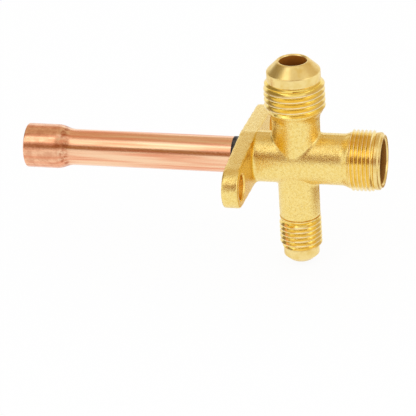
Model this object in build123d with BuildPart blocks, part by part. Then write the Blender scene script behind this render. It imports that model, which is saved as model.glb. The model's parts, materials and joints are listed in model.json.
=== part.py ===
from build123d import *
import os

# Refrigerant service valve for 3/8 in tube, in millimetres.
# Origin: centre of the flange's mounting face.  +X runs along the barrel to the stem port and -X
# along the stub tube, +Z is the flare port, -Z the service port, and the flange is long in Y.

# Barrel of the forging, along X
chamber_radius = 4.3            # smooth bore that the stem's seal runs in
barrel_wall = 2.45
port_offset = 14.95             # mounting face to the axis of the flare and service ports
shoulder_from_port = 13.15      # port axis to the machined shoulder
flash_width = 0.5               # parting line left by the forging dies
flash_height = 0.14
neck_blend = 1.0                # fillet where the two necks run into the barrel

# Flange
flange_thickness = 4.3
flange_end_radius = 5.4
flange_waist = 0.05             # the flange's middle stays this far under the barrel's top
flange_edge_round = 0.8
bolt_spacing = 38.0
bolt_hole_radius = 3.3
bolt_hole_bevel = 0.3

# Stem port, closed by a cap in service
cap_thread_radius = 8.0         # M16 x 1
cap_thread_depth = 0.6
cap_collar_length = 1.75        # cone from the shoulder up to the thread
cap_thread_length = 5.5
cap_band_length = 1.75          # plain band outside the thread
cap_nose_length = 0.7
mouth_radius = 5.4
mouth_wall = 1.15
mouth_bevel = 0.35

# Flare port, 3/8 in SAE
flare_thread_radius = 7.938     # 5/8-18
flare_thread_depth = 0.95
flare_neck_radius = 6.25
flare_neck_height = 12.7        # port axis to the top of the plain neck
flare_thread_length = 7.2
flare_relief_length = 0.6
flare_relief_depth = 0.25
flare_pilot_length = 2.6
flare_bore_radius = 3.55
flare_rim_wall = 0.68
flare_bevel = 0.2

# Service port, 1/4 in SAE
service_thread_radius = 5.556   # 7/16-20
service_thread_depth = 0.85
service_neck_radius = 5.35
service_neck_height = 16.7
service_runout = 0.45
service_thread_length = 8.1
service_pilot_length = 1.5
service_rim_wall = 0.65
service_bevel = 0.25
core_thread_radius = 2.65       # thread that holds the valve core
core_throat_radius = 2.15
core_seat_depth = 8.65          # mouth of the port to the wide end of the core's taper

# Stub tube
tube_radius = 4.76              # 3/8 in tube
tube_wall = 1.0
tube_free_length = 46.15        # mounting face to the start of the swaged end
swage_taper = 2.7
swage_length = 9.2
swage_fit = 0.07                # clearance for the next tube
socket_depth = 6.0
socket_fit = 0.06
braze_leg = 1.3
braze_throat = 0.4              # how far the hollow fillet comes out of the corner

# Stem, shown screwed in on its seat
seat_radius = 3.0
seat_from_port = 6.4            # port axis back to the narrow end of the seat
seat_gap = 0.06
stem_travel = 4.0
stem_nose_radius = 2.2
stem_head_radius = 3.8
stem_head_length = 1.2
stem_neck_radius = 2.2
stem_thread_radius = 5.0        # M10 x 1
stem_thread_length = 3.6
stem_end_bevel = 0.5
seal_land_from_port = 4.9
seal_land_length = 6.6
running_gap = 0.05
key_across_flats = 5.0
key_depth = 4.4
o_ring_section = 1.5
o_ring_from_port = 6.1
o_ring_groove_play = 0.4
o_ring_gap = 0.02
o_ring_flat = 0.42              # corner bevel of the squeezed section

# Retaining ring inside the stem port
ring_thickness = 0.8
ring_bite = 0.55                # depth of its groove outside the mouth
ring_reach = 0.3                # how far it stands in front of the stem's thread
ring_play = 0.05
ring_opening = 3.2

# Valve core in the service port
core_gap = 0.05
core_recess = 1.6               # mouth of the port to the core's bridge
bridge_height = 1.8
bridge_thickness = 1.4
plug_length = 2.5
core_flow_radius = 1.35         # bore of the plug and of the barrel
core_shell_wall = 0.55
core_barrel_length = 8.3
core_floor = 1.0
core_floor_radius = 0.9
core_seal_length = 1.5
pin_radius = 0.5
pin_guide_gap = 0.08
pin_reach = 0.9                 # how far it stands out of the bridge
pin_collar_radius = 1.15
pin_collar_length = 0.7
pin_travel = 1.2
spring_space = 4.8
spring_wire = 0.17
spring_radius = 1.06
spring_turns = 5
cup_length = 1.3
cup_rim = 0.25
cup_seal_length = 0.8

# Places that follow from the sizes
barrel_radius = chamber_radius + barrel_wall
shoulder_x = port_offset + shoulder_from_port
cap_thread_x = shoulder_x + cap_collar_length
cap_band_x = cap_thread_x + cap_thread_length
cap_corner_x = cap_band_x + cap_band_length
mouth_x = cap_corner_x + cap_nose_length
cap_root_radius = cap_thread_radius - cap_thread_depth

flare_pilot_radius = flare_thread_radius - flare_thread_depth
flare_rim_radius = flare_bore_radius + flare_rim_wall
flare_thread_z = flare_neck_height + flare_thread_radius - flare_neck_radius
flare_relief_z = flare_thread_z + flare_thread_length
flare_pilot_z = flare_relief_z + flare_relief_length
flare_cone_z = flare_pilot_z + flare_pilot_length
flare_rim_z = flare_cone_z + flare_pilot_radius - flare_rim_radius

service_pilot_radius = service_thread_radius - service_thread_depth
service_rim_radius = core_thread_radius + service_rim_wall
service_thread_z = -service_neck_height - service_runout
service_pilot_z = service_thread_z - service_thread_length
service_cone_z = service_pilot_z - service_thread_depth - service_pilot_length
service_rim_z = service_cone_z - (service_pilot_radius - service_rim_radius)

seat_x = port_offset - seat_from_port
socket_radius = tube_radius + socket_fit
tube_bore_radius = tube_radius - tube_wall
land_x = port_offset + seal_land_from_port
stem_thread_x = land_x + seal_land_length
stem_end_x = stem_thread_x + stem_thread_length
bore_step_x = stem_thread_x - seat_gap - running_gap
ring_x = stem_end_x + stem_travel + running_gap
ring_groove_radius = mouth_radius + ring_bite


def turned_on_barrel(outline, mode=Mode.ADD):
    # Turns an outline of (x, radius) points about the barrel's axis.
    with BuildSketch(Plane.XZ) as section:
        with BuildLine():
            Polyline(*outline, close=True)
        make_face()
    revolve(section.sketch, axis=Axis.X, mode=mode)


def turned_on_ports(outline, mode=Mode.ADD):
    # Turns an outline of (radius, z) points about the axis of the flare and service ports.
    with BuildSketch(Plane.XZ) as section:
        with BuildLine():
            Polyline(*[(port_offset + radius, z) for radius, z in outline], close=True)
        make_face()
    revolve(section.sketch, axis=Axis((port_offset, 0, 0), (0, 0, 1)), mode=mode)


# Valve body: one hot forging with a lozenge flange, machined at its four ports
with BuildPart() as valve_body:
    with BuildSketch(Plane.YZ):
        Circle(barrel_radius - flange_waist)
        with Locations((bolt_spacing / 2, 0), (-bolt_spacing / 2, 0)):
            Circle(flange_end_radius)
        make_hull()
    extrude(amount=flange_thickness)
    fillet(valve_body.faces().filter_by(Axis.X).edges(), flange_edge_round)

    # Forged barrel and necks
    with BuildSketch(Plane.YZ.offset(flange_edge_round)):
        Circle(barrel_radius)
    extrude(amount=shoulder_x - flange_edge_round)
    with BuildSketch(Plane.XY):
        with Locations((port_offset, 0)):
            Circle(flare_neck_radius)
    extrude(amount=flare_neck_height)
    with BuildSketch(Plane.XY):
        with Locations((port_offset, 0)):
            Circle(service_neck_radius)
    extrude(amount=-service_neck_height)
    neck_joins = valve_body.edges().filter_by(GeomType.BSPLINE).filter_by(
        lambda edge: edge.center().X > flange_thickness
    )
    fillet(neck_joins, neck_blend)

    # Parting line, standing proud of the forging in the plane of the four axes
    with BuildSketch(Plane.XZ):
        with Locations(((flange_thickness + shoulder_x) / 2, 0)):
            Rectangle(shoulder_x - flange_thickness, 2 * (barrel_radius + flash_height))
        with Locations((port_offset, flare_neck_height / 2)):
            Rectangle(2 * (flare_neck_radius + flash_height), flare_neck_height)
        with Locations((port_offset, -service_neck_height / 2)):
            Rectangle(2 * (service_neck_radius + flash_height), service_neck_height)
    extrude(amount=flash_width / 2, both=True)

    # Machined outside of the three threaded ports
    turned_on_barrel([
        (shoulder_x, 0),
        (shoulder_x, barrel_radius + flash_height),
        (cap_thread_x, cap_thread_radius),
        (cap_band_x, cap_thread_radius),
        (cap_band_x + cap_thread_depth, cap_root_radius),
        (cap_corner_x, cap_root_radius),
        (mouth_x, mouth_radius + mouth_wall),
        (mouth_x, 0),
    ])
    turned_on_ports([
        (0, flare_neck_height),
        (flare_neck_radius, flare_neck_height),
        (flare_thread_radius, flare_thread_z),
        (flare_thread_radius, flare_relief_z - flare_thread_depth),
        (flare_pilot_radius - flare_relief_depth, flare_relief_z),
        (flare_pilot_radius - flare_relief_depth, flare_pilot_z - flare_relief_depth),
        (flare_pilot_radius, flare_pilot_z),
        (flare_pilot_radius, flare_cone_z),
        (flare_rim_radius, flare_rim_z),
        (0, flare_rim_z),
    ])
    turned_on_ports([
        (0, -service_neck_height),
        (service_neck_radius, -service_neck_height),
        (service_thread_radius, service_thread_z),
        (service_thread_radius, service_pilot_z),
        (service_pilot_radius, service_pilot_z - service_thread_depth),
        (service_pilot_radius, service_cone_z),
        (service_rim_radius, service_rim_z),
        (0, service_rim_z),
    ])

    # Passages: tube socket, seat, stem bore with its thread, retaining groove and mouth
    turned_on_barrel([
        (0, 0),
        (0, socket_radius),
        (socket_depth, socket_radius),
        (socket_depth, seat_radius),
        (seat_x, seat_radius),
        (seat_x + chamber_radius - seat_radius, chamber_radius),
        (bore_step_x, chamber_radius),
        (bore_step_x, stem_thread_radius),
        (ring_x - ring_play, stem_thread_radius),
        (ring_x - ring_play, ring_groove_radius),
        (ring_x + ring_thickness + ring_play, ring_groove_radius),
        (ring_x + ring_thickness + ring_play, mouth_radius),
        (mouth_x - mouth_bevel, mouth_radius),
        (mouth_x, mouth_radius + mouth_bevel),
        (mouth_x, 0),
    ], mode=Mode.SUBTRACT)
    turned_on_ports([
        (0, 0),
        (flare_bore_radius, 0),
        (flare_bore_radius, flare_rim_z - flare_bevel),
        (flare_bore_radius + flare_bevel, flare_rim_z),
        (0, flare_rim_z),
    ], mode=Mode.SUBTRACT)
    core_taper_z = service_rim_z + core_seat_depth
    core_throat_z = core_taper_z + core_thread_radius - core_throat_radius
    turned_on_ports([
        (0, 0),
        (core_throat_radius, 0),
        (core_throat_radius, core_throat_z),
        (core_thread_radius, core_taper_z),
        (core_thread_radius, service_rim_z + service_bevel),
        (core_thread_radius + service_bevel, service_rim_z),
        (0, service_rim_z),
    ], mode=Mode.SUBTRACT)

    # Bolt holes of the flange, bevelled on both faces
    with BuildSketch(Plane.YZ):
        with Locations((bolt_spacing / 2, 0), (-bolt_spacing / 2, 0)):
            Circle(bolt_hole_radius)
    extrude(amount=flange_thickness, mode=Mode.SUBTRACT)
    hole_rims = valve_body.edges().filter_by(GeomType.CIRCLE).filter_by(
        lambda edge: abs(edge.radius - bolt_hole_radius) < 1e-6
        and abs(abs(edge.arc_center.Y) - bolt_spacing / 2) < 1e-6
    )
    chamfer(hole_rims, bolt_hole_bevel)


# Stub tube: swaged at its free end to take the next tube
with BuildPart() as stub_tube:
    swage_bore = tube_radius + swage_fit
    turned_on_barrel([
        (socket_depth, tube_radius),
        (-tube_free_length, tube_radius),
        (-tube_free_length - swage_taper, swage_bore + tube_wall),
        (-tube_free_length - swage_taper - swage_length, swage_bore + tube_wall),
        (-tube_free_length - swage_taper - swage_length, swage_bore),
        (-tube_free_length - swage_taper, swage_bore),
        (-tube_free_length, tube_bore_radius),
        (socket_depth, tube_bore_radius),
    ])

# Braze: hollow fillet between the tube and the flange
with BuildPart() as braze_ring:
    with BuildSketch(Plane.XZ):
        with BuildLine():
            Polyline(
                (0, tube_radius),
                (0, tube_radius + braze_leg),
                (-braze_throat, tube_radius + braze_throat),
                (-braze_leg, tube_radius),
                close=True,
            )
        make_face()
    revolve(axis=Axis.X)

# Valve stem: cone that meets the seat, thin neck, sealing land, thread and hexagon socket
with BuildPart() as valve_stem:
    nose_x = seat_x + seat_gap - (seat_radius - stem_nose_radius)
    head_x = seat_x + seat_gap + stem_head_radius - seat_radius
    head_back_x = head_x + stem_head_length
    land_radius = chamber_radius - running_gap
    groove_radius = chamber_radius - o_ring_section
    groove_x = port_offset + o_ring_from_port - (o_ring_section + o_ring_groove_play) / 2
    groove_end_x = groove_x + o_ring_section + o_ring_groove_play
    turned_on_barrel([
        (nose_x, 0),
        (nose_x, stem_nose_radius),
        (head_x, stem_head_radius),
        (head_back_x, stem_head_radius),
        (head_back_x + stem_head_radius - stem_neck_radius, stem_neck_radius),
        (land_x - (land_radius - stem_neck_radius), stem_neck_radius),
        (land_x, land_radius),
        (groove_x, land_radius),
        (groove_x, groove_radius - o_ring_gap),
        (groove_end_x, groove_radius - o_ring_gap),
        (groove_end_x, land_radius),
        (stem_thread_x, land_radius),
        (stem_thread_x, stem_thread_radius - running_gap),
        (stem_end_x - stem_end_bevel, stem_thread_radius - running_gap),
        (stem_end_x, stem_thread_radius - running_gap - stem_end_bevel),
        (stem_end_x, 0),
    ])
    with BuildSketch(Plane.YZ.offset(stem_end_x)):
        RegularPolygon(key_across_flats / 2, 6, major_radius=False)
    extrude(amount=-key_depth, mode=Mode.SUBTRACT)

# O-ring in the stem's groove
with BuildPart() as stem_o_ring:
    o_ring_height = o_ring_section - 2 * o_ring_gap
    with BuildSketch(Plane.XZ) as ring_section:
        with Locations((port_offset + o_ring_from_port, chamber_radius - o_ring_section / 2)):
            Rectangle(o_ring_section, o_ring_height)
        chamfer(ring_section.vertices(), o_ring_flat)
    revolve(axis=Axis.X)

# Retaining ring: open spring ring that stops the stem from being screwed out
with BuildPart() as stem_retaining_ring:
    ring_outer = ring_groove_radius - ring_play
    with BuildSketch(Plane.YZ.offset(ring_x)):
        Circle(ring_outer)
        Circle(stem_thread_radius - ring_reach, mode=Mode.SUBTRACT)
        with Locations((0, -ring_outer)):
            Rectangle(ring_opening, ring_outer, mode=Mode.SUBTRACT)
    extrude(amount=ring_thickness)

# Valve core.  Its pieces stack up from the mouth of the service port.
bridge_z = service_rim_z + core_recess
plug_z = bridge_z + bridge_height
core_barrel_z = plug_z + plug_length
core_seat_z = core_barrel_z + core_barrel_length
shell_radius = core_flow_radius + core_shell_wall
floor_z = core_seat_z - core_floor
collar_z = floor_z - spring_space

# Threaded plug with the flat bridge that a core key turns
with BuildPart() as core_plug:
    plug_radius = core_thread_radius - core_gap
    with BuildSketch(Plane.XY.offset(plug_z)):
        with Locations((port_offset, 0)):
            Circle(plug_radius)
            Circle(core_flow_radius, mode=Mode.SUBTRACT)
    extrude(amount=plug_length)
    with BuildSketch(Plane.XY.offset(bridge_z)):
        with Locations((port_offset, 0)):
            Rectangle(bridge_thickness, 2 * plug_radius - bridge_thickness / 2)
    extrude(amount=bridge_height)
    with BuildSketch(Plane.XY.offset(bridge_z)):
        with Locations((port_offset, 0)):
            Circle(pin_radius + pin_guide_gap)
    extrude(amount=bridge_height, mode=Mode.SUBTRACT)

# Core barrel, with the sharp lip that the cup seals on
with BuildPart() as core_barrel:
    turned_on_ports([
        (core_flow_radius, core_barrel_z),
        (shell_radius, core_barrel_z),
        (shell_radius, core_seat_z),
        (core_floor_radius, core_seat_z),
        (core_floor_radius, floor_z),
        (core_flow_radius, floor_z),
    ])

# Tapered seal round the barrel, pressed into the port's taper
with BuildPart() as core_barrel_seal:
    seal_bottom_z = core_taper_z - core_seal_length * 0.4
    seal_top_z = seal_bottom_z + core_seal_length
    turned_on_ports([
        (shell_radius + o_ring_gap, seal_bottom_z),
        (core_thread_radius - core_gap, seal_bottom_z),
        (core_thread_radius - core_gap, core_taper_z - core_gap),
        (core_throat_radius - core_gap, core_throat_z - core_gap),
        (core_throat_radius - core_gap, seal_top_z),
        (shell_radius + o_ring_gap, seal_top_z),
    ])

# Core pin, with the collar that the spring pushes on
with BuildPart() as core_pin:
    turned_on_ports([
        (0, bridge_z - pin_reach),
        (pin_radius, bridge_z - pin_reach),
        (pin_radius, collar_z - pin_collar_length),
        (pin_collar_radius, collar_z - pin_collar_length),
        (pin_collar_radius, collar_z),
        (pin_radius, collar_z),
        (pin_radius, core_seat_z + cup_length),
        (0, core_seat_z + cup_length),
    ])

# Cup on the inner end of the pin, and the rubber ring it presses on the barrel's lip
with BuildPart() as core_cup:
    cup_bore = pin_radius + o_ring_gap
    cup_back_z = core_seat_z + o_ring_gap + cup_seal_length
    turned_on_ports([
        (cup_bore, cup_back_z),
        (shell_radius - cup_rim, cup_back_z),
        (shell_radius - cup_rim, cup_back_z - cup_seal_length / 2),
        (shell_radius, cup_back_z - cup_seal_length / 2),
        (shell_radius, core_seat_z + cup_length),
        (cup_bore, core_seat_z + cup_length),
    ])
with BuildPart() as core_cup_seal:
    turned_on_ports([
        (cup_bore, core_seat_z + o_ring_gap),
        (shell_radius - cup_rim - o_ring_gap, core_seat_z + o_ring_gap),
        (shell_radius - cup_rim - o_ring_gap, cup_back_z),
        (cup_bore, cup_back_z),
    ])

# Core spring, between the barrel's floor and the pin's collar
with BuildPart() as core_spring:
    coil_start_z = collar_z + spring_wire + o_ring_gap
    coil_height = floor_z - collar_z - 2 * (spring_wire + o_ring_gap)
    with BuildLine() as coil:
        Helix(coil_height / spring_turns, coil_height, spring_radius, center=(port_offset, 0, coil_start_z))
    with BuildSketch(Plane(origin=coil.line @ 0, z_dir=coil.line % 0)):
        RegularPolygon(spring_wire, 6)
    sweep(is_frenet=True)

pieces = {
    "valve_body": valve_body,
    "stub_tube": stub_tube,
    "braze_ring": braze_ring,
    "valve_stem": valve_stem,
    "stem_o_ring": stem_o_ring,
    "stem_retaining_ring": stem_retaining_ring,
    "core_plug": core_plug,
    "core_barrel": core_barrel,
    "core_barrel_seal": core_barrel_seal,
    "core_pin": core_pin,
    "core_cup": core_cup,
    "core_cup_seal": core_cup_seal,
    "core_spring": core_spring,
}
os.makedirs("parts", exist_ok=True)
for name, piece in pieces.items():
    piece.part.label = name
    export_step(piece.part, f"parts/{name}.step")
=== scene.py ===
import json
import math

import bmesh
import bpy
import numpy as np
from mathutils import Matrix, Vector


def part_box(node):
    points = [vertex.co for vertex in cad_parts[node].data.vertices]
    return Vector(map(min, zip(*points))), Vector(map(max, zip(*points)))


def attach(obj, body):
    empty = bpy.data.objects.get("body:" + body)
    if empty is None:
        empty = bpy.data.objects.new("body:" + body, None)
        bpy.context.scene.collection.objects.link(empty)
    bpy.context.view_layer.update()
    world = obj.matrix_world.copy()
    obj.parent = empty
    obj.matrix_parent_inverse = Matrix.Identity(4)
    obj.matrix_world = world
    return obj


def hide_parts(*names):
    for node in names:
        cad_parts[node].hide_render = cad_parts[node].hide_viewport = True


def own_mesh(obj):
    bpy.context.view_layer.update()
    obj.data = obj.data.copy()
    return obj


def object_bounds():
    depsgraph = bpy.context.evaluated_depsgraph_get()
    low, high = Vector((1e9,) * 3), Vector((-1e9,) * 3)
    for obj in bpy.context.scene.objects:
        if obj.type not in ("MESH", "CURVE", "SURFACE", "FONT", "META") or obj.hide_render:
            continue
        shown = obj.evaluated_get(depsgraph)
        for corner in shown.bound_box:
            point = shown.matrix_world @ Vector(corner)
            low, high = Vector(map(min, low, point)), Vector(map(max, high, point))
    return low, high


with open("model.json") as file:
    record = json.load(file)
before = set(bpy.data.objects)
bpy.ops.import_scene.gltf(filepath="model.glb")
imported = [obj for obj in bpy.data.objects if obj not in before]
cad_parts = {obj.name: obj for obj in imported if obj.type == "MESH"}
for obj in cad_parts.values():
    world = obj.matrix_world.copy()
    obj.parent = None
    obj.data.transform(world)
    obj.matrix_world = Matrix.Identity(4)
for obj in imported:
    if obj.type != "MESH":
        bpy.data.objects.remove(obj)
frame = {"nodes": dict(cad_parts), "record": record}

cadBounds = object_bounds()
mm = 0.001  # sizes below are in millimetres
mounts = {mount["name"]: mount for mount in frame["record"]["mounts"]}
portX = mounts["flare_port"]["pos_m"][0] / mm  # axis of the flare and service ports
segments = 160  # facets round a turned surface
mergeDistance = 2e-7  # in metres, as the next one is
sliverLength = 1e-8

viewing = {
    "azimuth": 14.88,
    "elevation": 26.53,
    "roll": -3.79,
    "shiftRight": 23.27,  # how far the crossing of the ports lies off the middle of the view
    "shiftUp": 13.20,
    "distance": 669.2,
    "lens": 222.56827,
    "sensor": 36,
    "clipStart": 0.01,  # metres
}


def outwardAt(azimuth, elevation):
    return Vector((
        math.sin(azimuth) * math.cos(elevation),
        -math.cos(azimuth) * math.cos(elevation),
        math.sin(elevation),
    ))


def makeCamera(view):
    azimuth, elevation, roll = (math.radians(view[key]) for key in ("azimuth", "elevation", "roll"))
    back = outwardAt(azimuth, elevation)
    level = Vector((math.cos(azimuth), math.sin(azimuth), 0))
    upright = back.cross(level)
    right = level * math.cos(roll) + upright * math.sin(roll)
    up = upright * math.cos(roll) - level * math.sin(roll)
    place = back * view["distance"] - right * view["shiftRight"] - up * view["shiftUp"]
    place += Vector((portX, 0, 0))
    turn = Matrix((right, up, back)).transposed().to_4x4()
    camera = bpy.data.cameras.new("viewCamera")
    camera.sensor_width = view["sensor"]
    camera.lens = view["lens"]
    camera.clip_start = view["clipStart"]
    holder = bpy.data.objects.new("viewCamera", camera)
    holder.matrix_world = Matrix.Translation(place * mm) @ turn
    bpy.context.scene.collection.objects.link(holder)
    bpy.context.scene.camera = holder


makeCamera(viewing)
print("camera placed")


# Shader maths: a Signal is a socket that can be used in an expression
class Signal:
    def __init__(self, nodes, socket):
        self.nodes = nodes
        self.socket = socket

    def math(self, operation, *others):
        inputs = dict(enumerate((self, *others)))
        return self.nodes.make("ShaderNodeMath", {"operation": operation}, inputs)

    def __add__(self, other):
        return self.math("ADD", other)

    def __sub__(self, other):
        return self.math("SUBTRACT", other)

    def __mul__(self, other):
        return self.math("MULTIPLY", other)

    def __rsub__(self, other):
        return self.nodes.make("ShaderNodeMath", {"operation": "SUBTRACT"}, {0: other, 1: self})

    __radd__ = __add__
    __rmul__ = __mul__


class Nodes:
    def __init__(self, tree):
        self.tree = tree

    def make(self, kind, settings, inputs, output=0):
        # The one place that adds a node: its settings first, then its values and links
        node = self.tree.nodes.new(kind)
        for name, value in settings.items():
            setattr(node, name, value)
        for name, value in inputs.items():
            if isinstance(value, Signal):
                self.tree.links.new(value.socket, node.inputs[name])
            else:
                node.inputs[name].default_value = value
        return Signal(self, node.outputs[output])

    def connect(self, signal, node, socketName):
        self.tree.links.new(signal.socket, node.inputs[socketName])


class Finish(Nodes):
    def __init__(self, name, metallic, roughness):
        self.material = bpy.data.materials.new(name)
        self.material.use_nodes = True
        super().__init__(self.material.node_tree)
        self.shader = self.tree.nodes["Principled BSDF"]
        self.shader.inputs["Metallic"].default_value = metallic
        self.shader.inputs["Roughness"].default_value = roughness
        self.place = self.make("ShaderNodeTexCoord", {}, {}, "Object")

    def noise(self, scale, detail=3, stretch=(1, 1, 1), roughness=0.5):
        spot = self.make("ShaderNodeMapping", {}, {"Vector": self.place, "Scale": stretch})
        return self.make("ShaderNodeTexNoise", {}, {
            "Vector": spot, "Scale": scale, "Detail": detail, "Roughness": roughness,
        })

    def between(self, signal, low, high, toLow=0.0, toHigh=1.0):
        # A soft step from toLow to toHigh
        return self.make("ShaderNodeMapRange", {"interpolation_type": "SMOOTHSTEP"}, {
            "Value": signal, "From Min": low, "From Max": high, "To Min": toLow, "To Max": toHigh,
        })

    def blend(self, factor, colourA, colourB):
        first, second = ((*c, 1) if isinstance(c, tuple) else c for c in (colourA, colourB))
        # Sockets 6 and 7 are the two colours, and output 2 is their mix
        return self.make("ShaderNodeMix", {"data_type": "RGBA"}, {
            "Factor": factor, 6: first, 7: second,
        }, 2)

    def axisValue(self, axis):
        return self.make("ShaderNodeSeparateXYZ", {}, {0: self.place}, axis)

    def feed(self, socketName, signal):
        self.connect(signal, self.shader, socketName)

    def bump(self, height, strength, distance):
        self.feed("Normal", self.make("ShaderNodeBump", {}, {
            "Height": height, "Strength": strength, "Distance": distance * mm,
        }))


def span(place, offsets):
    # Places in metres, at offsets in millimetres from one place
    return [(place + offset) * mm for offset in offsets]


forgedLook = {
    "light": (1.0, 0.79, 0.30),
    "dark": (0.95, 0.70, 0.21),
    "darkBetween": (0.35, 0.68),
    "grime": (0.48, 0.27, 0.06),
    "grimeBetween": (0.57, 0.68),
    "grimeShare": 0.45,
    "grimeScale": 1.1,  # against the grain
    "faceShade": (0.84, 0.53, 0.05),  # painted shade: the flange's front face is painted a deeper gold, for the shade and warm reflection it has
    "faceShadeShare": 0.9,
    "faceFrom": (-0.14, -0.05),  # from the face, where its painted shade comes in
    "faceTo": (0.1, 0.6),  # and where it has gone
    "grain": 3500,  # blasted grain, and the softer cloud over it
    "mottle": 1700,
    "roughness": 0.28,
    "sheenBetween": (0.5, 1.0),
    "sheen": (0.23, 0.33),
    "grainShare": 0.5,
    "pitScale": 1.3,  # against the cloud
    "pitShare": 0.45,
    "bumpStrength": 1.0,
    "bumpDepth": 0.06,
}


def forgedBrass(look, faceAt):
    finish = Finish("forgedBrass", 1.0, look["roughness"])
    grain = finish.noise(look["grain"], 4, roughness=0.7)
    mottle = finish.noise(look["mottle"], 4)
    colour = finish.blend(finish.between(mottle, *look["darkBetween"]), look["light"], look["dark"])
    specks = finish.noise(look["grain"] * look["grimeScale"], 2)
    specks = finish.between(specks, *look["grimeBetween"])
    colour = finish.blend(specks * look["grimeShare"], colour, look["grime"])
    along = finish.axisValue(0)
    # Painted shade on the flange's front face, fading out a little beyond it
    onShadedFace = finish.between(along, *span(faceAt, look["faceFrom"]))
    onShadedFace = onShadedFace * finish.between(along, *span(faceAt, look["faceTo"]), 1.0, 0.0)
    colour = finish.blend(onShadedFace * look["faceShadeShare"], colour, look["faceShade"])
    finish.feed("Base Color", colour)
    cloud = mottle + grain * look["grainShare"]
    finish.feed("Roughness", finish.between(cloud, *look["sheenBetween"], *look["sheen"]))
    pits = finish.noise(look["mottle"] * look["pitScale"], 3)
    finish.bump(grain + pits * look["pitShare"], look["bumpStrength"], look["bumpDepth"])
    return finish.material


turnedLook = {
    "light": (0.96, 0.75, 0.31),
    "dark": (0.88, 0.63, 0.19),
    "darkBetween": (0.40, 0.75),
    # painted reflection: the thread roots are painted deep gold for the warm light bounced between
    # the flanks
    "root": (1.0, 0.75, 0.16),
    "rootFade": 0.1,  # below the crest, where the painted reflection of the root has gone
    # painted highlight: the thread crests are painted pale
    "crest": (1.0, 0.90, 0.62),
    "crestHighlightShare": 0.7,
    "crestEdge": (-0.16, -0.04),  # from the crest, where the painted highlight starts and is full
    "fadeIn": (0.1, 0.5),  # from the start of the thread
    "fadeOut": (-0.1, 0.1),  # from the end of the thread
    "stain": 420,
    "lines": 5200,  # turning lines round the part
    "linesStretch": 0.01,
    "roughness": 0.32,
    "sheenBetween": (0.3, 0.8),
    "sheen": (0.29, 0.40),
    "threadShine": 0.13,
    "boreEdge": (0.02, 0.06),  # outside the bore's radius
    "boreDepth": (0.6, 2.8),  # below the rim, where the bore's painted shade starts and is full
    "boreDullness": 0.9,
    "bumpStrength": 0.25,
    "bumpDepth": 0.015,
}


def turnedBrass(look, name, axis, port):
    finish = Finish(name, 1.0, look["roughness"])
    x, y, z = (finish.axisValue(number) for number in range(3))
    thin = look["linesStretch"]
    if axis == "X":
        along, sideA, sideB = x, y, z
        stretch = (1, thin, thin)
    else:
        along, sideA, sideB = z, x - portX * mm, y
        stretch = (thin, thin, 1)
    lines = finish.noise(look["lines"], 2, stretch)
    stain = finish.noise(look["stain"], 4)
    colour = finish.blend(finish.between(stain, *look["darkBetween"]), look["light"], look["dark"])
    radius = (sideA * sideA + sideB * sideB).math("SQRT")

    # Thread: painted reflection, deep gold in the roots, and painted highlight, pale on the crests
    start, end = port["thread"]
    root, crest, bore = port["root"], port["crest"], port["bore"]
    onThread = finish.between(along, *span(start, look["fadeIn"]))
    onThread = onThread * (1 - finish.between(along, *span(end, look["fadeOut"])))
    # Painted reflection in the thread roots, fading towards the crest
    depth = finish.between(radius, root * mm, (crest - look["rootFade"]) * mm, 1.0, 0.0)
    colour = finish.blend(onThread * depth * port["rootReflectionShare"], colour, look["root"])
    # Painted highlight on the thread crests
    crestHighlight = finish.between(radius, *span(crest, look["crestEdge"]))
    colour = finish.blend(onThread * crestHighlight * look["crestHighlightShare"], colour, look["crest"])

    # Bore: dull, dark with oxide and painted shade, and darker away from the rim with painted shade
    inside = finish.between(radius, *span(bore, look["boreEdge"]), 1.0, 0.0)
    fromRim = (along - port["rim"] * mm).math("ABSOLUTE")
    # Painted shade, darker further down the bore
    deep = finish.between(fromRim, *span(0, look["boreDepth"]))
    colour = finish.blend(inside, colour, finish.blend(deep, port["boreOxideAndShadeColour"], port["deepShadeColour"]))

    finish.feed("Base Color", colour)
    finish.feed("Metallic", 1 - inside * look["boreDullness"])
    sheen = finish.between(stain, *look["sheenBetween"], *look["sheen"])
    finish.feed("Roughness", sheen - onThread * look["threadShine"])
    finish.bump(lines, look["bumpStrength"], look["bumpDepth"])
    return finish.material


copperLook = {
    "light": (1.0, 0.67, 0.43),
    "dark": (0.91, 0.39, 0.22),
    "darkBetween": (0.36, 0.68),
    "swage": (0.94, 0.47, 0.27),
    "swageShare": 0.4,
    "stain": (0.52, 0.15, 0.06),
    "stainBetween": (0.38, 0.66),
    "stainShares": (0.92, 0.42),  # at the taper, and on the whole swage
    "swageEdge": (0, 0.5),  # from the wide end of the taper
    "fadeIn": (0, 1.2),  # of the taper's stain, from its wide end
    "fadeOut": (-0.6, 0.8),  # from its narrow end
    "blotch": 620,
    "streaks": 900,  # drawn lines along the tube
    "streakStretch": (0.04, 1, 1),
    "roughness": 0.27,
    "sheenBetween": (0.3, 0.75),
    "sheen": (0.19, 0.31),
    "scratches": 2600,
    "scratchStretch": (0.05, 1, 1),
    "bumpStrength": 0.2,
    "bumpDepth": 0.01,
}


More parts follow.
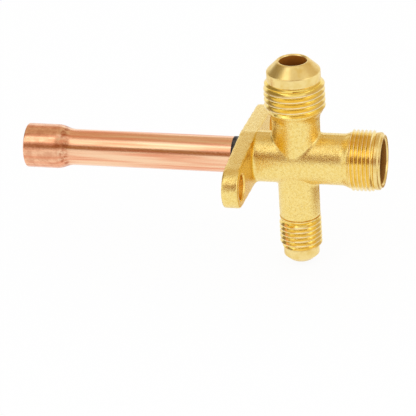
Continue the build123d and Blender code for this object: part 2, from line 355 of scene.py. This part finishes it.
def copperTube(look, swageStart, swageEnd):
    finish = Finish("drawnCopper", 1.0, look["roughness"])
    streaks = finish.noise(look["streaks"], 4, look["streakStretch"])
    blotch = finish.noise(look["blotch"], 5, roughness=0.65)
    colour = finish.blend(finish.between(streaks, *look["darkBetween"]), look["light"], look["dark"])
    along = finish.axisValue(0)
    onTaper = finish.between(along, *span(swageStart, look["fadeIn"]))
    onTaper = onTaper * (1 - finish.between(along, *span(swageEnd, look["fadeOut"])))
    onSwage = 1 - finish.between(along, *span(swageStart, look["swageEdge"]))
    colour = finish.blend(onSwage * look["swageShare"], colour, look["swage"])
    taperShare, swageShare = look["stainShares"]
    stained = finish.between(blotch, *look["stainBetween"])
    stained = stained * (onTaper * taperShare + onSwage * swageShare)
    finish.feed("Base Color", finish.blend(stained, colour, look["stain"]))
    finish.feed("Roughness", finish.between(streaks, *look["sheenBetween"], *look["sheen"]))
    scratches = finish.noise(look["scratches"], 2, look["scratchStretch"])
    finish.bump(scratches, look["bumpStrength"], look["bumpDepth"])
    return finish.material


plainLooks = {
    # name: (light, dark, metallic, roughness, size of the cloud, depth of the grain)
    "drilledBrass": ((0.99, 0.72, 0.22), (0.94, 0.62, 0.14), 1.0, 0.3, 900, 0.01),
    # the bores inside the forging: dark brown, partly oxide and partly painted shade
    "boreOxideAndShade": ((0.50, 0.24, 0.05), (0.40, 0.18, 0.04), 0.2, 0.4, 600, 0.01),
    "scorchedBraze": ((0.10, 0.095, 0.10), (0.025, 0.022, 0.022), 0.7, 0.5, 700, 0.05),
    "stemBrass": ((0.85, 0.62, 0.22), (0.66, 0.44, 0.13), 1.0, 0.3, 600, 0.01),
    "springSteel": ((0.60, 0.60, 0.61), (0.42, 0.42, 0.43), 1.0, 0.28, 700, 0.01),
    "sealRubber": ((0.03, 0.03, 0.03), (0.015, 0.015, 0.015), 0.0, 0.6, 900, 0.02),
    "sealPlastic": ((0.85, 0.84, 0.80), (0.74, 0.73, 0.68), 0.0, 0.45, 700, 0.01),
}

plainCloud = {
    "darkBetween": (0.35, 0.7),
    "sheenBetween": (0.3, 0.75),
    "smoothest": 0.85,  # shares of the roughness
    "roughest": 1.25,
    "grainScale": 4,
    "bumpStrength": 0.4,
}


def plainFinish(name, light, dark, metallic, roughness, scale, depth):
    finish = Finish(name, metallic, roughness)
    cloud = finish.noise(scale, 4)
    darker = finish.between(cloud, *plainCloud["darkBetween"])
    finish.feed("Base Color", finish.blend(darker, light, dark))
    low, high = roughness * plainCloud["smoothest"], min(1, roughness * plainCloud["roughest"])
    finish.feed("Roughness", finish.between(cloud, *plainCloud["sheenBetween"], low, high))
    grain = finish.noise(scale * plainCloud["grainScale"], 3)
    finish.bump(grain, plainCloud["bumpStrength"], depth)
    return finish.material


# Mesh helpers
def meshFrom(name, points, faces):
    mesh = bpy.data.meshes.new(name)
    mesh.from_pydata(points, [], faces)
    shape = bmesh.new()
    shape.from_mesh(mesh)
    bmesh.ops.remove_doubles(shape, verts=shape.verts, dist=mergeDistance)
    bmesh.ops.dissolve_degenerate(shape, edges=shape.edges, dist=sliverLength)
    bmesh.ops.recalc_face_normals(shape, faces=shape.faces)
    shape.to_mesh(mesh)
    shape.free()
    return mesh


def linked(name, data):
    piece = bpy.data.objects.new(name, data)
    bpy.context.scene.collection.objects.link(piece)
    return piece


def newPiece(name, mesh, material, smoothAngle=35):
    mesh.materials.append(material)
    mesh.shade_smooth()
    mesh.set_sharp_from_angle(angle=math.radians(smoothAngle))
    return linked(name, mesh)


def circlePoints(radius, centre=(0, 0), count=96, start=0.0, sweep=2 * math.pi):
    return [
        (centre[0] + radius * math.cos(start + sweep * k / count),
         centre[1] + radius * math.sin(start + sweep * k / count))
        for k in range(count)
    ]


def lozenge(middle, end, offset):
    # Outline of a middle circle and two smaller end circles, joined by tangents
    lean = math.asin((middle - end) / offset)
    tip = circlePoints(end, (offset, 0), 40, -math.pi / 2 + lean, math.pi - 2 * lean)
    side = circlePoints(middle, (0, 0), 12, math.pi / 2 - lean, 2 * lean)
    half = tip + side
    return half + [(-a, -b) for a, b in half]


def prism(name, outline, low, high, axis):
    # The outline lies in the plane across the axis
    points = []
    for level in (low, high):
        for a, b in outline:
            point = (level, a, b) if axis == "X" else (a, b, level)
            points.append([value * mm for value in point])
    count = len(outline)
    faces = [tuple(range(count)), tuple(range(count, 2 * count))]
    for index in range(count):
        following = (index + 1) % count
        faces.append((index, following, count + following, count + index))
    return meshFrom(name, points, faces)


def turnedMesh(name, rows, axis):
    # Rows are (place along the axis, radius), and either may be an array over the angle
    angle = np.linspace(0, 2 * np.pi, segments + 1)
    rings = []
    for along, radius in rows:
        along = np.broadcast_to(np.asarray(along, float), angle.shape)
        radius = np.broadcast_to(np.asarray(radius, float), angle.shape)
        if axis == "X":
            ring = (along, radius * np.cos(angle), radius * np.sin(angle))
        else:
            ring = (portX + radius * np.cos(angle), radius * np.sin(angle), along)
        rings.append(np.stack(ring, 1))
    points = np.concatenate(rings) * mm
    width = segments + 1
    faces = []
    for row in range(len(rows)):
        following = (row + 1) % len(rows)
        for column in range(segments):
            faces.append((
                row * width + column, row * width + column + 1,
                following * width + column + 1, following * width + column,
            ))
    return meshFrom(name, points.tolist(), faces)


def roundedRows(corners, steps=3):
    # Corners are (along, radius, rounding), and each becomes a short curve
    rows = []
    for index, (along, radius, rounding) in enumerate(corners):
        here = np.array((along, radius))
        if rounding == 0:
            rows.append((along, radius))
            continue
        before = np.array(corners[index - 1][:2]) - here
        after = np.array(corners[(index + 1) % len(corners)][:2]) - here
        start = here + before / np.linalg.norm(before) * rounding
        end = here + after / np.linalg.norm(after) * rounding
        for step in range(steps + 1):
            t = step / steps
            spot = start * (1 - t) ** 2 + here * 2 * t * (1 - t) + end * t ** 2
            rows.append((spot[0], spot[1]))
    return rows


threadForm = {
    # (share of the pitch, share of the height) over one turn
    "profile": (
        (0.0, 0.0), (0.14, 0.04), (0.28, 0.30), (0.46, 0.92),
        (0.50, 1.0), (0.58, 1.0), (0.62, 0.92), (0.84, 0.16),
    ),
    "runOut": 1.3,  # slope of the cones that the thread dies into
}


def threadRows(start, end, port, startRadius, endRadius):
    # A right-hand thread from start to end
    crest, root, pitch = port["crest"], port["root"], port["pitch"]
    slope = threadForm["runOut"]
    turn = np.linspace(0, 1, segments + 1)
    rows = []
    for wind in range(-1, int((end - start) / pitch) + 2):
        for fraction, height in threadForm["profile"]:
            along = np.clip(start + (wind + fraction + turn) * pitch, start, end)
            radius = np.full(turn.shape, root + (crest - root) * height)
            radius = np.minimum(radius, startRadius + (along - start) * slope)
            radius = np.minimum(radius, endRadius + (end - along) * slope)
            rows.append((along, radius))
    return rows


forging = {
    "barrelRadius": 6.75,
    # Collars under the threads, as (along, radius)
    "stemCollar": ((27.7, 6.75), (29.45, 7.5), (29.9, 7.2), (31.0, 7.0)),
    "flareCollar": ((12.0, 6.25), (13.0, 6.65), (14.2, 7.5), (14.7, 7.1), (15.6, 6.8)),
    "serviceNeck": (5.35, -16.5),  # radius, end
    "flangeThickness": 4.3,
    "flangeEndRadius": 5.4,
    "flangeWaist": 0.05,
    "boltSpacing": 38.0,
    "boltRadius": 3.3,
    "boltBevel": 0.35,
    "barrelFrom": 1,  # buried in the flange
    "voxel": 0.30,  # of the skin over the solids, and how much it is smoothed
    "softness": 0.5,
    "smoothing": 18,
    "smoothAngle": 40,
    "sliver": 1e-7,  # metres
    "flashWidth": 0.34,
    "flashHeight": 0.16,
    "flashFrom": 0.2,  # beyond the flange
    "flashFacing": 0.5,  # how far the skin may face sideways there
    "overrun": 1,  # how far a cutter passes the face that it opens
    "flareBore": 3.65,
    "serviceBore": 2.15,
    # Tube socket, seat and gland bore, as (along, radius)
    "barrelBore": (
        (-1, 4.82), (6.0, 4.82), (6.0, 3.0), (8.55, 3.0), (9.85, 4.3), (26.3, 4.3), (26.3, 5.1),
    ),
}


def forgingSolids(size):
    # Flange, necks and barrel as overlapping solids, for the skin to blend
    outline = lozenge(
        size["barrelRadius"] - size["flangeWaist"], size["flangeEndRadius"], size["boltSpacing"] / 2,
    )
    serviceRadius, serviceEnd = size["serviceNeck"]
    shape = bmesh.new()
    shape.from_mesh(prism("flange", outline, 0, size["flangeThickness"], "X"))
    shape.from_mesh(prism("neck", circlePoints(serviceRadius, (portX, 0)), serviceEnd, 0, "Z"))
    collars = (
        (size["stemCollar"], size["barrelFrom"], "X"),
        (size["flareCollar"], 0, "Z"),
    )
    for collar, start, axis in collars:
        rows = [(start, 0), (start, collar[0][1]), *collar, (collar[-1][0], 0)]
        shape.from_mesh(turnedMesh("neck", rows, axis))
    mesh = bpy.data.meshes.new("valveForging")
    shape.to_mesh(mesh)
    shape.free()
    return mesh


def evaluatedMesh(piece):
    return bpy.data.meshes.new_from_object(piece.evaluated_get(bpy.context.evaluated_depsgraph_get()))


def raiseFlash(mesh, size):
    # The parting line stands a little proud of the forging in the plane of the four axes
    count = len(mesh.vertices)
    spots = np.empty(count * 3)
    normals = np.empty(count * 3)
    mesh.vertices.foreach_get("co", spots)
    mesh.vertex_normals.foreach_get("vector", normals)
    spots = spots.reshape(-1, 3) / mm
    normals = normals.reshape(-1, 3)
    beyondFlange = spots[:, 0] > size["flangeThickness"] + size["flashFrom"]
    inPlane = np.abs(normals[:, 1]) < size["flashFacing"]
    rise = np.exp(-((spots[:, 1] / size["flashWidth"]) ** 2)) * size["flashHeight"]
    spots += normals * (rise * beyondFlange * inPlane)[:, None]
    mesh.vertices.foreach_set("co", (spots * mm).ravel())


def makeCutters(size, drilled, boreFinish):
    past = size["overrun"]
    flareEnd = size["flareCollar"][-1][0] + past
    stemEnd = size["stemCollar"][-1][0] + past
    serviceEnd = size["serviceNeck"][1] - past
    profile = size["barrelBore"]
    bores = [
        prism("bore", circlePoints(size["flareBore"], (portX, 0)), 0, flareEnd, "Z"),
        prism("bore", circlePoints(size["serviceBore"], (portX, 0)), serviceEnd, 0, "Z"),
        turnedMesh("bore", [
            (profile[0][0], 0), *profile, (stemEnd, profile[-1][1]), (stemEnd, 0),
        ], "X"),
    ]
    for bore in bores:
        bore.materials.append(boreFinish)
    thick, radius, bevel = size["flangeThickness"], size["boltRadius"], size["boltBevel"]
    drills = []
    for side in (-1, 1):
        drill = turnedMesh("drill", [
            (-past, 0), (-past, radius + bevel + past), (bevel, radius), (thick - bevel, radius),
            (thick + past, radius + bevel + past), (thick + past, 0),
        ], "X")
        drill.materials.append(drilled)
        drill.transform(Matrix.Translation((0, side * size["boltSpacing"] / 2 * mm, 0)))
        drills.append(drill)
    return bores + drills


def cutWith(piece, cutters):
    # Each cut face keeps its cutter's material
    for mesh in cutters:
        cutter = linked("cutter", mesh)
        change = piece.modifiers.new("cut", "BOOLEAN")
        change.operation = "DIFFERENCE"
        change.solver = "EXACT"
        change.material_mode = "TRANSFER"
        change.object = cutter
        cut = evaluatedMesh(piece)
        piece.modifiers.remove(change)
        bpy.data.objects.remove(cutter)
        piece.data = cut


def makeForging(size, finish, drilled, boreFinish):
    piece = linked("valveForging", forgingSolids(size))
    remesh = piece.modifiers.new("skin", "REMESH")
    remesh.mode = "VOXEL"
    remesh.voxel_size = size["voxel"] * mm
    soften = piece.modifiers.new("soften", "SMOOTH")
    soften.factor = size["softness"]
    soften.iterations = size["smoothing"]
    piece.data = evaluatedMesh(piece)
    piece.modifiers.clear()
    piece.data.materials.append(finish)
    raiseFlash(piece.data, size)
    cutWith(piece, makeCutters(size, drilled, boreFinish))

    mesh = piece.data
    shape = bmesh.new()
    shape.from_mesh(mesh)
    bmesh.ops.dissolve_degenerate(shape, edges=shape.edges, dist=size["sliver"])
    bmesh.ops.triangulate(shape, faces=[face for face in shape.faces if len(face.verts) > 4])
    shape.to_mesh(mesh)
    shape.free()
    mesh.shade_smooth()
    mesh.set_sharp_from_angle(angle=math.radians(size["smoothAngle"]))
    return piece


stemPort = {
    "thread": (29.3, 35.85),
    "crest": 8.0,
    "root": 7.28,
    "pitch": 1.06,
    "startRadius": 7.0,
    "lead": 0.4,  # how far the thread runs on into the forging
    "buried": ((26.6, 6.4), (28.8, 6.4)),  # the part inside the forging, as (along, radius)
    # Rim and gland bore, as (along, radius, rounding)
    "rimProfile": (
        (35.95, 7.12, 0.05), (36.15, 7.5, 0.06), (37.05, 7.5, 0.12), (37.3, 7.0, 0.06),
        (37.8, 6.86, 0.08), (37.8, 6.25, 0.06), (37.3, 5.96, 0.1), (35.05, 5.96, 0),
        (35.05, 5.95, 0), (34.05, 5.95, 0), (34.05, 5.0, 0.05), (26.6, 5.0, 0),
    ),
    "rim": 37.8,  # tells the finish where the profile has its rim, and its bore below
    "bore": 5.96,
    # Inside the bore: partly oxide and partly painted shade, with more painted shade further down
    "boreOxideAndShadeColour": (0.38, 0.155, 0.02),
    "deepShadeColour": (0.11, 0.028, 0.002),
    "rootReflectionShare": 0.38,
}


def makeStemPort(size, finish):
    start, end = size["thread"]
    rows = list(size["buried"])
    rows += threadRows(start - size["lead"], end, size, size["startRadius"], size["root"])
    rows += roundedRows(size["rimProfile"])
    return newPiece("stemPortThread", turnedMesh("stemPortThread", rows, "X"), finish)


flarePort = {
    "thread": (13.9, 22.05),
    "crest": 7.94,
    "root": 7.02,
    "pitch": 1.51,
    "startRadius": 6.8,
    "endRadius": 6.9,
    "buried": ((11.9, 5.9), (13.6, 5.9)),
    # Flare cone and bore, as (along, radius, rounding)
    "rimProfile": (
        (22.15, 6.84, 0.04), (22.35, 6.99, 0.06), (24.79, 6.99, 0.18), (27.35, 4.43, 0.12),
        (27.546, 4.15, 0.06), (27.546, 3.78, 0.06), (27.2, 3.55, 0.1), (11.9, 3.55, 0),
    ),
    "rim": 27.55,
    "bore": 3.55,
    # Inside the bore: partly oxide and partly painted shade, with more painted shade further down
    "boreOxideAndShadeColour": (0.38, 0.13, 0.012),
    "deepShadeColour": (0.28, 0.085, 0.008),
    "rootReflectionShare": 0.85,
}


def makeFlarePort(size, finish):
    start, end = size["thread"]
    rows = list(size["buried"])
    rows += threadRows(start, end, size, size["startRadius"], size["endRadius"])
    rows += roundedRows(size["rimProfile"])
    return newPiece("flarePortThread", turnedMesh("flarePortThread", rows, "Z"), finish)


servicePort = {
    "thread": (-25.2, -17.0),
    "crest": 5.556,
    "root": 4.80,
    "pitch": 1.32,
    "startRadius": 4.72,
    # Cone below the thread, as (along, radius, rounding)
    "rimProfile": (
        (-29.006, 2.9, 0.05), (-29.006, 3.2, 0.08), (-27.6, 4.706, 0.15), (-25.35, 4.706, 0.05),
    ),
    # Shoulder over the thread, the part inside the forging, and the core's bore
    "backProfile": (
        (-16.95, 5.0), (-16.75, 5.36), (-16.6, 5.40), (-16.45, 5.38), (-16.4, 5.1), (-15.6, 5.1),
        (-15.6, 2.15), (-19.86, 2.15), (-20.36, 2.65), (-28.75, 2.65),
    ),
    "rim": -29.0,
    "bore": 2.65,
    # Inside the bore: partly oxide and partly painted shade, with more painted shade further down
    "boreOxideAndShadeColour": (0.50, 0.28, 0.06),
    "deepShadeColour": (0.34, 0.17, 0.03),
    "rootReflectionShare": 0.75,
}


def makeServicePort(size, finish):
    low, high = size["thread"]
    rows = roundedRows(size["rimProfile"])
    rows += threadRows(low, high, size, size["startRadius"], size["root"])
    rows += size["backProfile"]
    return newPiece("servicePortThread", turnedMesh("servicePortThread", rows, "Z"), finish)


tube = {
    "radius": 4.76,
    "wall": 1.0,
    "socketDepth": 5.95,  # how far the tube goes into the body
    "swageStart": -46.15,
    "swageTaper": 2.7,
    "swageLength": 9.2,
    "swageBore": 4.83,
    "bend": 1.3,  # rounding of the swage outside
}


def makeTube(size, finish):
    outer, inner = size["radius"], size["radius"] - size["wall"]
    start, bend, depth = size["swageStart"], size["bend"], size["socketDepth"]
    swage = start - size["swageTaper"]
    lip = swage - size["swageLength"]
    bore = size["swageBore"]
    swageOuter = bore + size["wall"]
    rows = roundedRows((
        (depth, outer, 0), (start, outer, bend), (swage, swageOuter, bend),
        (lip, swageOuter, 0.3), (lip, bore, 0.22), (swage, bore, 0.3), (start, inner, 0.8),
        (depth, inner, 0),
    ), 8)
    return newPiece("copperStub", turnedMesh("copperStub", rows, "X"), finish, 50)


braze = {
    "leg": 1.3,
    "steps": 8,
    "sunk": 0.3,  # into the flange
    "fill": (0.98, 0.97),
    "runOut": (0.6, 0.62),
    "feather": 0.03,
}


def makeBraze(size, radius, finish):
    leg, sunk, steps = size["leg"], size["sunk"], size["steps"]
    fillAlong, fillAcross = size["fill"]
    rows = [(sunk, radius), (sunk, radius + leg)]
    for step in range(steps + 1):
        turn = math.pi / 2 * step / steps
        along = -leg + leg * math.cos(turn) * fillAlong
        rows.append((along, radius + leg - leg * math.sin(turn) * fillAcross))
    thinning, end = size["runOut"]
    rows.append((-leg - thinning, radius + size["feather"]))
    rows.append((-leg - end, radius))
    return newPiece("brazeFillet", turnedMesh("brazeFillet", rows, "X"), finish, 60)


coreSpring = {
    "wire": 0.17,
    "radius": 1.06,
    "turns": 5,
    "stepsPerTurn": 40,
    "wireFacets": 12,
    "fixedEnd": -15.8,
    "keep": 0.75,  # share of its length that is left with the pin pressed in
}


def makeSpring(size, finish):
    # A right-hand coil of round wire, as long as the node that it stands for
    low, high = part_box("core_spring")
    wire, facets, radius = size["wire"], size["wireFacets"], size["radius"]
    start, end = low[2] / mm + wire, high[2] / mm - wire
    count = size["turns"] * size["stepsPerTurn"]
    rise = (end - start) / (size["turns"] * 2 * math.pi)  # per radian
    points = []
    for step in range(count + 1):
        angle = 2 * math.pi * step / size["stepsPerTurn"]
        outward = Vector((math.cos(angle), math.sin(angle), 0))
        along = Vector((-math.sin(angle) * radius, math.cos(angle) * radius, rise)).normalized()
        middle = outward * radius + Vector((portX, 0, start + rise * angle))
        for a, b in circlePoints(wire, count=facets):
            points.append(tuple((middle + outward * a + along.cross(outward) * b) * mm))
    faces = [tuple(range(facets)), tuple(range(count * facets, (count + 1) * facets))]
    for step in range(count):
        for column in range(facets):
            following = (column + 1) % facets
            faces.append((
                step * facets + column, step * facets + following,
                (step + 1) * facets + following, (step + 1) * facets + column,
            ))
    return newPiece("coreSpringWire", meshFrom("coreSpringWire", points, faces), finish)


print("building finishes")
forgedFinish = forgedBrass(forgedLook, forging["flangeThickness"])
stemPortFinish = turnedBrass(turnedLook, "stemPortBrass", "X", stemPort)
flarePortFinish = turnedBrass(turnedLook, "flarePortBrass", "Z", flarePort)
servicePortFinish = turnedBrass(turnedLook, "servicePortBrass", "Z", servicePort)
copperFinish = copperTube(copperLook, tube["swageStart"] - tube["swageTaper"], tube["swageStart"])
plain = {name: plainFinish(name, *look) for name, look in plainLooks.items()}

print("building the valve body")
bodyForging = makeForging(forging, forgedFinish, plain["drilledBrass"], plain["boreOxideAndShade"])
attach(bodyForging, "body")
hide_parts("valve_body")
for port in (
    makeStemPort(stemPort, stemPortFinish),
    makeFlarePort(flarePort, flarePortFinish),
    makeServicePort(servicePort, servicePortFinish),
):
    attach(port, "body")

print("building the tube")
copperStub = makeTube(tube, copperFinish)
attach(copperStub, "body")
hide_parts("stub_tube")
brazeFillet = makeBraze(braze, tube["radius"], plain["scorchedBraze"])
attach(brazeFillet, "body")
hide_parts("braze_ring")

print("building the core's spring")
springWire = makeSpring(coreSpring, plain["springSteel"])
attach(springWire, "body")
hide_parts("core_spring")
portX * mm
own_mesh(springWire)

nodeFinishes = {
    "valve_stem": "stemBrass",
    "stem_o_ring": "sealRubber",
    "stem_retaining_ring": "springSteel",
    "core_plug": "stemBrass",
    "core_barrel": "stemBrass",
    "core_barrel_seal": "sealPlastic",
    "core_pin": "springSteel",
    "core_cup": "stemBrass",
    "core_cup_seal": "sealRubber",
}
for nodeName, finishName in nodeFinishes.items():
    node = frame["nodes"][nodeName]
    node.data.materials.clear()
    node.data.materials.append(plain[finishName])

print("setting the studio")
studio = {
    "world": 1.0,
    "floorBelow": 1.0,  # millimetres; the lengths under this one are metres
    "floorSize": 4.0,
    "floorGrey": 0.9,
    "floorRoughness": 0.9,
    "floorWhite": 0.93,  # the rest shows the floor itself, and so the shadow
    "lamps": {
        # name: (place, width, power)
        "keyLight": ((-0.25, -0.35, 0.55), 0.35, 0.28),
        "fillLight": ((0.55, -0.25, 0.30), 0.30, 0.25),
    },
    "cards": {
        # name: (azimuth, elevation, distance, width, height, brightness, colour)
        "cameraCard": (14.88, 25.0, 0.85, 1.7, 0.46, 0.34, (1.0, 0.46, 0.15)),
        "frontCard": (14.88, 58.0, 0.70, 1.1, 0.36, 0.76, (1.0, 0.90, 0.76)),
        "backCard": (195.0, 60.0, 0.60, 1.4, 0.75, 0.66, (1.0, 0.80, 0.58)),
        "leftCard": (-100.0, 42.0, 0.70, 0.70, 0.8, 0.30, (1.0, 0.76, 0.45)),
        "rightCard": (128.0, 42.0, 0.70, 0.60, 0.8, 0.66, (1.0, 0.80, 0.54)),
        # painted shade: a dim card on the floor behind the object shows as the floor's shade in
        # reflections
        "floorShadeCard": (114.0, -26.0, 0.06, 0.062, 0.035, 0.50, (1.0, 0.66, 0.32)),
    },
}


def seenAsWhite(nodes, underneath, whiteKind, share, output):
    # The camera, and what mirrors or lets through its view, sees plain white there
    rays = ("Is Camera Ray", "Is Glossy Ray", "Is Transmission Ray")
    camera, glossy, through = (nodes.make("ShaderNodeLightPath", {}, {}, ray) for ray in rays)
    seen = camera.math("MAXIMUM", glossy).math("MAXIMUM", through)
    white = nodes.make(whiteKind, {}, {"Color": (1, 1, 1, 1), "Strength": 1.0})
    mix = nodes.make("ShaderNodeMixShader", {}, {
        0: seen * share, 1: Signal(nodes, underneath.outputs[0]), 2: white,
    })
    nodes.connect(mix, output, "Surface")


def makeWorld(size):
    world = bpy.data.worlds.new("studio")
    bpy.context.scene.world = world
    world.use_nodes = True
    nodes = Nodes(world.node_tree)
    background = nodes.tree.nodes["Background"]
    background.inputs["Color"].default_value = (1, 1, 1, 1)
    background.inputs["Strength"].default_value = size["world"]
    seenAsWhite(nodes, background, "ShaderNodeBackground", 1.0, nodes.tree.nodes["World Output"])


def makeFloor(size):
    height = cadBounds[0][2] - size["floorBelow"] * mm
    bpy.ops.mesh.primitive_plane_add(size=size["floorSize"], location=(0, 0, height))
    floor = bpy.context.object
    floor.name = "studioFloor"
    paint = bpy.data.materials.new("floorPaint")
    paint.use_nodes = True
    nodes = Nodes(paint.node_tree)
    shader = nodes.tree.nodes["Principled BSDF"]
    grey = size["floorGrey"]
    shader.inputs["Base Color"].default_value = (grey, grey, grey, 1)
    shader.inputs["Roughness"].default_value = size["floorRoughness"]
    output = nodes.tree.nodes["Material Output"]
    seenAsWhite(nodes, shader, "ShaderNodeEmission", size["floorWhite"], output)
    floor.data.materials.append(paint)


def makeLamp(name, place, width, power):
    lamp = bpy.data.lights.new(name, "AREA")
    lamp.shape = "SQUARE"
    lamp.size = width
    lamp.energy = power
    holder = linked(name, lamp)
    holder.location = place
    holder.rotation_euler = (-Vector(place)).to_track_quat("-Z", "Y").to_euler()


def makeCard(name, azimuth, elevation, distance, width, height, brightness, colour):
    # Only the object's reflections show the cards
    azimuth, elevation = math.radians(azimuth), math.radians(elevation)
    outward = outwardAt(azimuth, elevation)
    across = Vector((math.cos(azimuth), math.sin(azimuth), 0))
    bpy.ops.mesh.primitive_plane_add(size=1)
    card = bpy.context.object
    card.name = name
    card.matrix_world = (
        Matrix.Translation(outward * distance)
        @ Matrix((across, outward.cross(across), outward)).transposed().to_4x4()
        @ Matrix.Diagonal((width, height, 1, 1))
    )
    paint = bpy.data.materials.new(name)
    paint.use_nodes = True
    shader = paint.node_tree.nodes["Principled BSDF"]
    shader.inputs["Base Color"].default_value = (0, 0, 0, 1)
    shader.inputs["Specular IOR Level"].default_value = 0
    shader.inputs["Emission Color"].default_value = (*colour, 1)
    shader.inputs["Emission Strength"].default_value = brightness
    card.data.materials.append(paint)
    card.visible_camera = False
    card.visible_diffuse = False
    card.visible_shadow = False


makeWorld(studio)
makeFloor(studio)
for name, lamp in studio["lamps"].items():
    makeLamp(name, *lamp)
for name, card in studio["cards"].items():
    makeCard(name, *card)
bpy.context.scene.view_settings.view_transform = "Standard"

print("done")
